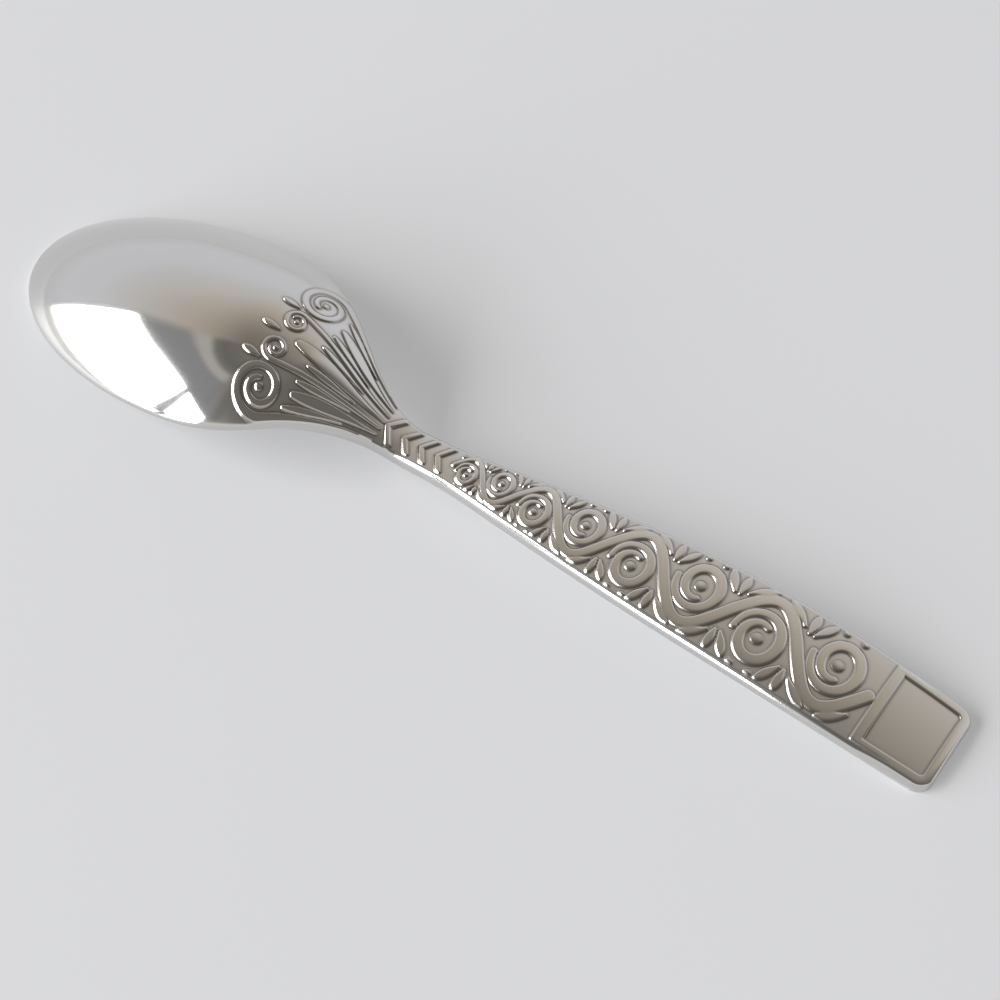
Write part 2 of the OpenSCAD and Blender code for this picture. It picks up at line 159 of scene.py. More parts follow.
def seen_share(tree: bpy.types.NodeTree, hidden: float, seen: float) -> bpy.types.NodeSocket:
    """Tells rays that carry the picture from those that only carry light.

    Args:
        tree: Node tree that gets the nodes.
        hidden: Value for rays that only carry light.
        seen: Value for camera, glossy and transmission rays.

    Returns:
        The socket with the value.
    """
    path = add_node(tree, "ShaderNodeLightPath").outputs
    sight = add_node(
        tree, "ShaderNodeMath", {0: path["Is Camera Ray"], 1: path["Is Glossy Ray"]}, operation="MAXIMUM"
    )
    sight = add_node(
        tree, "ShaderNodeMath", {0: sight.outputs[0], 1: path["Is Transmission Ray"]}, operation="MAXIMUM"
    )
    share = add_node(
        tree, "ShaderNodeMix", {"Factor": sight.outputs[0]}, {VALUE_A: hidden, VALUE_B: seen}
    )
    return share.outputs[0]


def sheet(name: str, points: Array, layers: dict[Layer, Array], capped: bool) -> bpy.types.Object:
    """Wraps a grid round a closed form.

    Args:
        name: Name of the new object.
        points: Rows of points in millimetres from the tip; each row is a closed ring.
        layers: Value of each attribute at each point.
        capped: Whether the first and the last ring are closed with a face.

    Returns:
        The new object, linked to the scene, with its place in its mesh.
    """
    points = np.concatenate([points, points[:, :1]], axis=1)
    rows, columns = points.shape[:2]
    places = (points - [(CAD_BOX[1].x - CAD_BOX[0].x) / MM / 2, 0.0, 0.0]) * MM
    places = np.clip(places, *CAD_BOX).reshape(-1, 3)
    bm = bmesh.new()
    bmesh.ops.create_grid(bm, x_segments=columns - 1, y_segments=rows - 1, size=1.0)
    for vertex, place in zip(bm.verts, places):
        vertex.co = place
    for layer, values in layers.items():
        stored = bm.verts.layers.float.new(layer.value)
        for vertex, value in zip(bm.verts, np.concatenate([values, values[:, :1]], axis=1).ravel()):
            vertex[stored] = value
    bmesh.ops.remove_doubles(bm, verts=bm.verts, dist=SEAM_GAP * MM)
    if capped:
        bmesh.ops.holes_fill(bm, edges=bm.edges, sides=0)
    bmesh.ops.recalc_face_normals(bm, faces=bm.faces)
    for face in bm.faces:
        face.smooth = True
    for edge in bm.edges:
        edge.smooth = edge.calc_face_angle(0.0) < SHARP_ANGLE
    mesh = bpy.data.meshes.new(name)
    bm.to_mesh(mesh)
    bm.free()
    piece = bpy.data.objects.new(name, mesh)
    bpy.context.scene.collection.objects.link(piece)
    return piece


@dataclass(frozen=True)
class Blank:
    """Plain form of the spoon in millimetres, x measured from the bowl's tip."""

    length: float
    bowl_end: float
    neck_end: float
    bowl_width: float = 24.5
    widest_at: float = 21.6
    neck_at: float = 48.0
    bowl_rise: float = 6.4
    bowl_wall: float = 1.2
    rim_land: float = 1.0
    rim_edge: float = 0.6
    shoulder_full: float = 2.75
    shoulder_turn: float = 2.9
    rim_lean: float = math.radians(9.1)
    tip_wear: float = 0.2
    hollow_stop: float = 3.0
    neck_width: float = 4.2
    neck_thickness: float = 1.65
    neck_blend: float = 0.5
    handle_width: float = 11.0
    handle_wide_back: float = 14.0
    handle_root: float = 2.7
    end_thickness: float = 1.2
    arch_height: float = 2.4
    arch_back: float = 28.0
    arch_front: float = 44.0
    upper_bevel: float = 0.3
    lower_chamfer: float = 0.3
    foot_length: float = 3.0
    corner_radius: float = 1.5
    handle_crown: float = 0.27
    rim_round: float = 0.3
    fairing: float = 4.5
    fairing_taper: float = 11.0
    fairing_steps: int = 9
    field_from: float = 30.0
    field_blend: float = 1.5
    # Share of the satin and of the painted lighter tone on the bowl's heel.
    heel_satin_and_lightening: float = 0.35

    @classmethod
    def from_frame(cls) -> "Blank":
        """Takes the length and the two joints from the CAD nodes."""
        tip = CAD_BOX[0].x
        return cls(
            length=(CAD_BOX[1].x - tip) / MM,
            bowl_end=(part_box("bowl")[1].x - tip) / MM,
            neck_end=(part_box("neck")[1].x - tip) / MM,
        )

    @property
    def bowl_arc(self) -> float:
        """Depth of the centre of the bowl's round section below its rim."""
        return ((self.bowl_width / 2) ** 2 - self.bowl_rise ** 2) / (2 * self.bowl_rise)

    @property
    def hollow_share(self) -> float:
        """Depth of the hollow as a share of the back's rise."""
        return (self.bowl_rise + self.rim_edge - self.bowl_wall) / self.bowl_rise

    @property
    def arch_at(self) -> float:
        """Place where the handle stands highest."""
        return self.length - self.arch_back

    def bowl_half(self, x: Array) -> Array:
        """Half the width of the bowl's own outline."""
        wide, neck = self.bowl_width / 2, self.neck_width / 2
        front = wide * np.sqrt(np.maximum(0.0, 1 - ((self.widest_at - x) / self.widest_at) ** 2))
        share = np.clip((x - self.widest_at) / (self.neck_at - self.widest_at), 0.0, 1.0)
        back = neck + (wide - neck) * (1 - share ** self.shoulder_full) ** self.shoulder_turn
        return np.where(x <= self.widest_at, front, back)

    def side_half(self, x: Array) -> Array:
        """Half the width of the handle's curved sides."""
        wide, root = self.handle_width / 2, self.handle_root / 2
        wide_at = self.length - self.handle_wide_back
        return wide - (wide - root) * ((wide_at - x) / (wide_at - self.neck_at)) ** 2

    def corner_loss(self, x: Array) -> Array:
        """Loss of half-width where the end's corners are rounded."""
        d = np.clip((x - self.length + self.corner_radius) / self.corner_radius, 0.0, 1.0)
        return self.corner_radius * (1 - np.sqrt(1 - d * d))

    def half_width(self, x: Array) -> Array:
        """Half the width of the outline in plan."""
        a, b = self.bowl_half(x), self.side_half(x)
        return (a + b + np.sqrt((a - b) ** 2 + self.neck_blend ** 2)) / 2 - self.corner_loss(x)

    def fair_half(self, x: Array) -> Array:
        """Half the width, faired where the front and the back of the bowl's outline meet."""
        reach = self.fairing * smooth(1 - np.abs(x - self.widest_at) / self.fairing_taper)
        ways = np.linspace(-1.0, 1.0, self.fairing_steps)
        return np.mean([self.half_width(x + reach * way) for way in ways], axis=0)

    def field(self, x: Array) -> Array:
        """Share of the coined field's satin and painted lighter tone: none on the bowl, some on its heel,
        full on the handle.
        """
        heel = self.heel_satin_and_lightening * smooth((x - self.field_from) / self.field_blend)
        return mix(heel, 1.0, smooth((x - self.bowl_end) / (self.neck_end - self.bowl_end)))

    def from_joint(self, x: Array) -> Array:
        """Share of the way along the neck from the bowl to its narrowest place."""
        return np.clip((x - self.bowl_end) / (self.neck_at - self.bowl_end), 0.0, 1.0)

    def top_half(self, x: Array) -> Array:
        """Half the width of the back between its bevels."""
        return self.half_width(x) - self.upper_bevel * self.from_joint(x)

    def to_handle(self, x: Array) -> Array:
        """Share of the way from the bowl's side profile to the handle's."""
        shoulder_at = (self.widest_at + self.neck_at) / 2
        return smooth((x - shoulder_at) / (self.neck_at - shoulder_at))

    def under(self, x: Array) -> Array:
        """Height of the lower face."""
        reach = np.where(x < self.arch_at, self.arch_front, self.arch_back - self.foot_length)
        arch = self.arch_height * (1 - ((x - self.arch_at) / reach) ** 2)
        return mix(math.tan(self.rim_lean) * x - self.tip_wear, arch, self.to_handle(x))

    def edge(self, x: Array) -> Array:
        """Height of the outer edge above the lower face."""
        share = np.clip((x - self.neck_at) / (self.length - self.neck_at), 0.0, 1.0)
        bar = mix(self.neck_thickness, self.end_thickness, share)
        return mix(self.rim_edge, bar, self.to_handle(x))

    def crown(self, x: Array, y: Array) -> Array:
        """Roundness of the back above its edges."""
        round_left = np.clip((self.arch_at - x) / (self.arch_at - self.bowl_end), 0.0, 1.0) ** 2
        room = np.maximum(0.0, self.fair_half(x) ** 2 - y * y)
        share = mix(self.handle_crown, 1.0, round_left)
        return share * (np.sqrt(self.bowl_arc ** 2 + room) - self.bowl_arc)

    def back(self, x: Array, y: Array) -> Array:
        """Height of the plain back."""
        return self.under(x) + self.edge(x) + self.crown(x, y)


@dataclass(frozen=True)
class Line:
    """A raised line: its middle and half its width at each point, in millimetres."""

    x: Array
    y: Array
    half: Array

    def near(self, x: Array, y: Array, margin: float) -> Array:
        """Tells which points lie in the line's box with a margin round it."""
        wide = margin + self.half.max()
        return (
            (x > self.x.min() - wide) & (x < self.x.max() + wide)
            & (y > self.y.min() - wide) & (y < self.y.max() + wide)
        )

    def depth(self, x: Array, y: Array) -> tuple[Array, Array]:
        """Measures points against the line's edge.

        Args:
            x: Places along the spoon.
            y: Places across the spoon.

        Returns:
            Distance inside the edge, negative outside, and half the line's width there.
        """
        run_x, run_y, widen = np.diff(self.x), np.diff(self.y), np.diff(self.half)
        off_x, off_y = x[:, None] - self.x[:-1], y[:, None] - self.y[:-1]
        share = np.clip((off_x * run_x + off_y * run_y) / (run_x ** 2 + run_y ** 2), 0.0, 1.0)
        half = self.half[:-1] + share * widen
        depth = half - np.hypot(off_x - share * run_x, off_y - share * run_y)
        best = depth.argmax(axis=1)[:, None]
        return np.take_along_axis(depth, best, 1)[:, 0], np.take_along_axis(half, best, 1)[:, 0]


@dataclass(frozen=True)
class Curl:
    """A stem that runs up the heel and curls inwards: millimetres, with shares of the half-width."""

    start: float
    out: float
    radius: float
    eye: float
    half: float
    turns: float
    stem_half: float = 0.055
    eye_share: float = 0.5

    def rise(self, blank: Blank) -> float:
        """Angle at which the stem runs outwards where it turns into the curl."""
        step = 0.1
        widening = blank.top_half(self.start - step) - blank.top_half(self.start)
        return math.atan2(self.out * widening, step)

    def middle(self, blank: Blank) -> tuple[float, float]:
        """Middle of the curl."""
        rise = self.rise(blank)
        y = self.out * blank.top_half(self.start) - self.radius * math.cos(rise)
        return self.start - self.radius * math.sin(rise), y

    def line(self, blank: Blank, side: int, root: float, line_end: float, t: Array) -> Line:
        """Draws the stem and the curl as one line.

        Args:
            blank: The spoon's form.
            side: Side of the spoon, 1 or -1.
            root: Place where the stem starts.
            line_end: Width of the line's end, as a share of its full width.
            t: Steps from 0 to 1 along each part.

        Returns:
            The whole line.
        """
        stem_x = mix(root, self.start, t[:-1])
        turn = math.pi / 2 - self.rise(blank) + math.tau * self.turns * t
        reach = mix(self.radius, self.eye, t)
        x, y = self.middle(blank)
        x = np.concatenate([stem_x, x + reach * np.cos(turn)])
        y = np.concatenate([self.out * blank.top_half(stem_x), y + reach * np.sin(turn)])
        stem_half = np.minimum(self.half, self.stem_half * blank.top_half(stem_x))
        return Line(x, side * y, np.concatenate([stem_half, self.half * mix(1.0, line_end, t)]))


@dataclass(frozen=True)
class Relief:
    """Raised work on the back: sizes in millimetres or in local half-widths, as in the CAD model."""

    blank: Blank
    height: float = 0.2
    slope: float = 0.24
    slope_share: float = 1.15
    pillow: float = 0.08
    # Reach and margin of the painted shade beside the raised edges.
    groove_shade_reach: float = 0.08
    groove_shade_margin: float = 4.0
    # Keeps the painted shade off the raised tops.
    shade_free_top: float = 3.0
    vine_lead: float = 0.6
    vine_pitch: float = 1.5
    vine_swing: float = 0.74
    vine_half: float = 0.13
    scroll_radius: float = 0.52
    scroll_eye: float = 0.27
    scroll_turns: float = 1.3
    scroll_half: float = 0.12
    scroll_stretch: float = 1.2
    scroll_offset: float = 0.2
    line_end: float = 0.6
    leaflet_half: float = 0.095
    leaflet_from: float = 0.1
    leaflet_to: float = 0.4
    leaflet_low: float = 0.57
    leaflet_high: float = 0.92
    leaflet_rise: float = 0.8
    sprig_low: float = 0.48
    sprig_high: float = 0.9
    sprig_half: float = 0.095
    sprig_apart: float = 0.12
    sprig_lean: float = 0.26
    pearl_radius: float = 0.14
    bead_radius: float = 0.085
    bead_out: float = 0.905
    bead_apart: float = 0.2
    panel_length: float = 8.5
    frame_width: float = 0.9
    frame_inset: float = 0.15
    frame_overlap: float = 0.24
    corner_steps: int = 12
    chevron_count: int = 4
    chevron_half: float = 0.3
    chevron_lead: float = 0.3
    chevron_steps: int = 13
    palm_front: float = 29.7
    palm_overlap: float = 1.0
    leaf_front: float = 34.0
    leaf_half: float = 0.11
    side_leaf: float = 0.61
    side_leaf_front: float = 36.3
    side_leaf_half: float = 0.1
    slip_root: float = 41.0
    slip_front: float = 36.0
    slip_half: float = 0.05
    slip_out: float = 0.18
    slip_apart: float = 0.18
    volute: Curl = Curl(34.4, 0.925, 2.55, 0.85, 0.42, 1.5)
    heart: Curl = Curl(32.6, 0.315, 1.25, 0.6, 0.26, 1.2)
    fringe_half: float = 0.36
    fringe_root: float = 31.5
    fringe_out: float = 3.5
    swell_from: float = math.radians(25.0)
    swell_turn: float = math.radians(130.0)
    swell_late: float = 1.3
    steps: int = 48

    @property
    def palm_root(self) -> float:
        """Place where the palmette's leaves start, on the neck."""
        return self.blank.bowl_end + self.palm_overlap

    @property
    def panel_at(self) -> float:
        """Place where the bare panel at the handle's end starts."""
        return self.blank.length - self.panel_length

    @property
    def curls(self) -> tuple[Curl, Curl]:
        """The outer and the inner curled stem of one side of the palmette."""
        return self.volute, self.heart

    @property
    def run(self) -> Array:
        """Steps from 0 to 1 along a line."""
        return np.linspace(0.0, 1.0, self.steps)

    def swell(self, t: Array) -> Array:
        """Width of a leaf along its length, as a share of its widest place."""
        return np.sin(self.swell_from + self.swell_turn * t ** self.swell_late)

    def drop(self, start: tuple[float, float], end: tuple[float, float], half: float) -> Line:
        """A drop-shaped leaf between two points."""
        x, y = (mix(a, b, self.run) for a, b in zip(start, end))
        return Line(x, y, half * self.swell(self.run))

    def leaf(self, root: float, front: float, place: float, half: float) -> Line:
        """A leaf on the heel that keeps its share of the half-width."""
        x = mix(root, front, self.run)
        wide = self.blank.top_half(x)
        return Line(x, place * wide, half * wide * self.swell(self.run))

    def knots(self) -> Array:
        """Places where the vine crosses the middle line; its bends grow with the handle."""
        first = self.blank.neck_end + self.vine_lead
        last = self.panel_at - self.frame_width
        places = [first]
        while places[-1] <= last:
            middle = places[-1] + self.vine_pitch * self.blank.top_half(places[-1]) / 2
            places.append(places[-1] + self.vine_pitch * self.blank.top_half(middle))
        places = np.array(places[:-1])
        return first + (places - first) * (last - first) / (places[-1] - first)

    def bends(self) -> list[tuple[float, float, int, float]]:
        """Start, end, side and scale of each bend of the vine."""
        knots = self.knots()
        found = []
        for k, (start, end) in enumerate(zip(knots, knots[1:])):
            scale = min(self.blank.top_half((start + end) / 2), (end - start) / self.vine_pitch)
            found.append((start, end, 1 if k % 2 == 0 else -1, scale))
        return found

    def vine(self) -> list[Line]:
        """The wavy stem, one line for each bend."""
        swing = self.vine_swing * np.sin(math.pi * self.run)
        lines = []
        for start, end, side, _ in self.bends():
            x = mix(start, end, self.run)
            wide = self.blank.top_half(x)
            lines.append(Line(x, side * swing * wide, self.vine_half * wide))
        return lines

    def scrolls(self) -> list[Line]:
        """One coil in each bend of the vine."""
        t = np.linspace(0.0, 1.0, 2 * self.steps)
        half = self.scroll_half * mix(self.line_end, 1.0, np.sin(math.pi * t))
        lines = []
        for start, end, side, scale in self.bends():
            radius = scale * mix(self.scroll_radius, self.scroll_eye, t)
            turn = math.pi - side * math.tau * self.scroll_turns * t
            x = (start + end) / 2 + radius * np.cos(turn)
            y = self.scroll_stretch * radius * np.sin(turn) - side * self.scroll_offset * scale
            lines.append(Line(x, y, scale * half))
        return lines

    def leaflets(self) -> list[Line]:
        """Two leaves on the outer side of each bend of the vine."""
        level = mix(self.leaflet_low, self.leaflet_high, self.run ** self.leaflet_rise)
        off = 0.5 - mix(self.leaflet_from, self.leaflet_to, self.run)
        half = self.leaflet_half * self.swell(self.run)
        lines = []
        for start, end, side, _ in self.bends():
            for way in (-1, 1):
                x = (start + end) / 2 + way * off * (end - start)
                wide = self.blank.top_half(x)
                lines.append(Line(x, side * level * wide, half * wide))
        return lines

    def sprigs(self) -> list[Line]:
        """Two drops on each edge at each crossing of the vine."""
        lines = []
        for x, _, turn, _ in self.bends()[1:]:
            wide = self.blank.top_half(x)
            for side in (-1, 1):
                low, high = side * self.sprig_low * wide, side * self.sprig_high * wide
                near = x - turn * side * self.sprig_apart * wide
                far = near - turn * side * self.sprig_lean * wide
                lines.append(self.drop((x, low), (x, high), self.sprig_half * wide))
                lines.append(self.drop((near, low), (far, high), self.sprig_half * wide))
        return lines

    def palmette(self) -> list[Line]:
        """Leaves on the bowl's heel, between two pairs of curled stems."""
        lines = [
            self.leaf(self.palm_root, self.leaf_front, 0.0, self.leaf_half),
            self.drop((self.fringe_root, 0.0), (self.palm_front, 0.0), self.fringe_half),
        ]
        slips = (self.slip_out, self.side_leaf - self.slip_apart, self.side_leaf + self.slip_apart)
        for side in (-1, 1):
            for curl in self.curls:
                lines.append(curl.line(self.blank, side, self.palm_root, self.line_end, self.run))
            out, place = side * self.fringe_out, side * self.side_leaf
            lines.append(self.drop((self.fringe_root, out), (self.palm_front, out), self.fringe_half))
            lines.append(self.leaf(self.palm_root, self.side_leaf_front, place, self.side_leaf_half))
            for slip in slips:
                lines.append(self.leaf(self.slip_root, self.slip_front, side * slip, self.slip_half))
        return lines

    def chevrons(self) -> list[Line]:
        """Marks across the neck, each with its point towards the bowl."""
        run = (self.blank.neck_end - self.palm_root) / self.chevron_count
        across = np.linspace(-1.0, 1.0, self.chevron_steps)
        lines = []
        for k in range(self.chevron_count):
            x = self.palm_root + run * (k + self.chevron_lead)
            wide = self.blank.top_half(x + run / 2) - self.chevron_half - self.frame_inset
            mark = x + np.abs(across) * run / 2
            lines.append(Line(mark, across * wide, np.full_like(across, self.chevron_half)))
        return lines

    def end_frame(self) -> list[Line]:
        """Raised frame round the bare panel at the handle's end."""
        blank = self.blank
        half = (self.frame_width + self.frame_overlap) / 2
        edge = self.frame_inset + self.frame_width - half
        turn = max(blank.corner_radius - edge, self.frame_width)
        far, near = blank.length - edge, self.panel_at + self.frame_width - half
        side_x = np.linspace(near, far - turn, self.steps)
        side_y = blank.top_half(side_x) - edge
        level = blank.top_half(blank.length - blank.corner_radius) - edge
        angle = np.linspace(0.0, math.pi / 2, self.corner_steps)[1:]
        x = np.concatenate([side_x, far - turn + turn * np.sin(angle)])
        y = np.concatenate([side_y, level - turn + turn * np.cos(angle)])
        x, y = np.concatenate([x, x[::-1], x[:1]]), np.concatenate([y, -y[::-1], y[:1]])
        return [Line(x, y, np.full_like(x, half))]

    def pearls(self) -> Array:
        """Place and radius of each dome: in the scrolls, along the edges, and in the palmette's curls."""
        domes = []
        for start, end, side, scale in self.bends():
            middle = (start + end) / 2
            domes.append((middle, -side * self.scroll_offset * scale, self.pearl_radius * scale))
            for x in (middle - self.bead_apart * scale, middle + self.bead_apart * scale):
                wide = self.blank.top_half(x)
                domes.append((x, -side * self.bead_out * wide, self.bead_radius * wide))
        for curl in self.curls:
            x, y = curl.middle(self.blank)
            domes += [(x, side * y, curl.eye_share * curl.eye) for side in (-1, 1)]
        return np.array(domes)

    def lines(self) -> list[Line]:
        """All raised lines."""
        return [
            *self.vine(), *self.scrolls(), *self.leaflets(), *self.sprigs(),
            *self.palmette(), *self.chevrons(), *self.end_frame(),
        ]

    def shape(self, x: Array, y: Array) -> tuple[Array, Array]:
        """Works out the raised work over a grid of points.

        Args:
            x: Places along the spoon.
            y: Places across the spoon.

        Returns:
            Lift from 0 between the raised lines to 1 on top, and the share of painted shade beside the
            raised edges.
        """
        flat_x, flat_y = x.ravel(), y.ravel()
        lift, groove_shade = np.zeros(flat_x.size), np.zeros(flat_x.size)
        for line in self.lines():
            near = np.flatnonzero(line.near(flat_x, flat_y, self.groove_shade_margin * self.groove_shade_reach))
            if near.size == 0:
                continue
            depth, half = line.depth(flat_x[near], flat_y[near])
            slope = np.minimum(self.slope, self.slope_share * half)
            domed = 1 - self.pillow * (1 - np.clip(depth / half, 0.0, 1.0)) ** 2
            lift[near] = np.maximum(lift[near], smooth(depth / slope + 0.5) * domed)
            beyond = np.minimum(depth + slope / 2, 0.0)
            # Painted shade: dark beside each raised edge, fading with distance from it.
            groove_shade[near] = np.maximum(groove_shade[near], np.exp(beyond / self.groove_shade_reach))
        for dome_x, dome_y, radius in self.pearls():
            away = np.hypot(flat_x - dome_x, flat_y - dome_y)
            lift = np.maximum(lift, np.sqrt(np.clip(1 - (away / radius) ** 2, 0.0, 1.0)))
            groove_shade = np.maximum(groove_shade, np.exp(np.minimum(radius - away, 0.0) / self.groove_shade_reach))
        # The painted shade stops on the raised tops.
        return lift.reshape(x.shape), (groove_shade * (1 - lift ** self.shade_free_top)).reshape(x.shape)


@dataclass(frozen=True)
class BuffedSteel:
    """Stainless steel, coined in a die and buffed.

    The plain bowl is a mirror. On the coined field the steel is rougher: a soft shine on the crests and
    satin between them, with a colour painted lighter than the mirror's, as painted light that makes up
    for a darker reflection. The foot of each raised edge holds a thin dark line of painted shade and
    polish residue.
    """

    name: str = "stainless_steel_coined_and_buffed"
    mirror: str = "#D5D4D2"
    # The coined field's crest and ground tones are painted lighter than the mirror: painted light that
    # makes up for a darker reflection there.
    lightened_crest: str = "#DEDDDB"
    lightened_ground: str = "#DBDAD9"
    # Painted shade: the thin dark line at the foot of each raised edge, with some polish residue.
    groove_shade: str = "#98938C"
    mirror_roughness: float = 0.055
    crest_roughness: float = 0.13
    ground_roughness: float = 0.27
    wear_roughness: float = 0.05
    smudge_size: float = 9.0
    smudge_detail: float = 3.0
    # Real buffing lines are finer. These are as coarse as they need to be to show.
    buff_line_gap: float = 0.16
    buff_line_length: float = 6.0
    buff_line_depth: float = 0.0006
    buff_line_detail: float = 2.0

    def material(self) -> bpy.types.Material:
        """Builds the node tree.

        Returns:
            The finished material.
        """
        made = bpy.data.materials.new(self.name)
        made.use_nodes = True
        tree = made.node_tree
        tree.nodes.clear()
        lift, groove_shade, field = (
            add_node(tree, "ShaderNodeAttribute", attribute_name=layer.value).outputs["Fac"]
            for layer in (Layer.LIFT, Layer.GROOVE_SHADE, Layer.FIELD)
        )
        low = add_node(tree, "ShaderNodeMath", {1: lift}, {0: 1.0}, operation="SUBTRACT")
        low = add_node(tree, "ShaderNodeMath", {0: low.outputs[0], 1: field}, operation="MULTIPLY")
        # Paints the coined field lighter than the mirror: painted light.
        bright = add_node(
            tree, "ShaderNodeMix", {"Factor": field},
            {COLOUR_A: linear(self.mirror), COLOUR_B: linear(self.lightened_crest)}, data_type="RGBA",
        )
        lightened_tone = add_node(
            tree, "ShaderNodeMix", {"Factor": low.outputs[0], COLOUR_A: bright.outputs[COLOUR_OUT]},
            {COLOUR_B: linear(self.lightened_ground)}, data_type="RGBA",
        )
        # Paints the shade line at the foot of the raised edges.
        colour = add_node(
            tree, "ShaderNodeMix", {"Factor": groove_shade, COLOUR_A: lightened_tone.outputs[COLOUR_OUT]},
            {COLOUR_B: linear(self.groove_shade)}, data_type="RGBA",
        )
        place = add_node(tree, "ShaderNodeTexCoord").outputs["Object"]
        smudge = add_node(
            tree, "ShaderNodeTexNoise", {"Vector": place},
            {"Scale": 1 / (self.smudge_size * MM), "Detail": self.smudge_detail},
        )
        lengthwise = add_node(
            tree, "ShaderNodeMapping", {"Vector": place},
            {"Scale": (self.buff_line_gap / self.buff_line_length, 1.0, 1.0)},
        )
        buffed = add_node(
            tree, "ShaderNodeTexNoise", {"Vector": lengthwise.outputs[0]},
            {"Scale": 1 / (self.buff_line_gap * MM), "Detail": self.buff_line_detail},
        )
        polish = add_node(
            tree, "ShaderNodeMix", {"Factor": field},
            {VALUE_A: self.mirror_roughness, VALUE_B: self.crest_roughness},
        )
        polish = add_node(
            tree, "ShaderNodeMix", {"Factor": low.outputs[0], VALUE_A: polish.outputs[0]},
            {VALUE_B: self.ground_roughness},
        )
        rough = add_node(
            tree, "ShaderNodeMath", {0: smudge.outputs["Fac"], 2: polish.outputs[0]},
            {1: self.wear_roughness}, operation="MULTIPLY_ADD",
        )
        bump = add_node(
            tree, "ShaderNodeBump", {"Height": buffed.outputs["Fac"]},
            {"Strength": 1.0, "Distance": self.buff_line_depth * MM},
        )
        shader = add_node(
            tree, "ShaderNodeBsdfPrincipled",
            {
                "Base Color": colour.outputs[COLOUR_OUT],
                "Roughness": rough.outputs[0],
                "Normal": bump.outputs[0],
            },
            {"Metallic": 1.0},
        )
        add_node(tree, "ShaderNodeOutputMaterial", {"Surface": shader.outputs[0]})
        return made


@dataclass(frozen=True)
class PaintedTable:
    """Smooth board under white satin paint: an even pale grey with hardly any shine.

    A share of what the camera and the reflections see of it is a plain backdrop tone.
    """

    name: str = "satin_painted_board"
    pale: str = "#EEEFF1"
    shade: str = "#EBECEE"
    backdrop: str = "#D8D8D9"
    backdrop_share: float = 0.42
    patch_size: float = 60.0
    patch_detail: float = 4.0
    roughness: float = 0.55

    def material(self) -> bpy.types.Material:
        """Builds the node tree.

        Returns:
            The finished material.
        """
        made = bpy.data.materials.new(self.name)
        made.use_nodes = True
        tree = made.node_tree
        tree.nodes.clear()
        place = add_node(tree, "ShaderNodeTexCoord").outputs["Object"]
        patches = add_node(
            tree, "ShaderNodeTexNoise", {"Vector": place},
            {"Scale": 1 / (self.patch_size * MM), "Detail": self.patch_detail},
        )
        tone = add_node(
            tree, "ShaderNodeMix", {"Factor": patches.outputs["Fac"]},
            {COLOUR_A: linear(self.pale), COLOUR_B: linear(self.shade)}, data_type="RGBA",
        )
        board = add_node(
            tree, "ShaderNodeBsdfPrincipled", {"Base Color": tone.outputs[COLOUR_OUT]},
            {"Roughness": self.roughness},
        )
        backdrop = add_node(tree, "ShaderNodeEmission", values={"Color": linear(self.backdrop)})
        shader = add_node(
            tree, "ShaderNodeMixShader",
            {0: seen_share(tree, 0.0, self.backdrop_share), 1: board.outputs[0], 2: backdrop.outputs[0]},
        )
        add_node(tree, "ShaderNodeOutputMaterial", {"Surface": shader.outputs[0]})
        return made


def dress(piece: bpy.types.Object, steel: bpy.types.Material, zone: Zone) -> None:
    """Gives a piece its finish and its place in the frame.

    Args:
        piece: The built piece.
        steel: Its material.
        zone: The zone of the blank, with the CAD nodes that the piece stands for.
    """
    piece.data.materials.append(steel)
    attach(piece, "root")
    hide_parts(*zone.value)
    log.info("%s: %d faces", piece.name, len(piece.data.polygons))


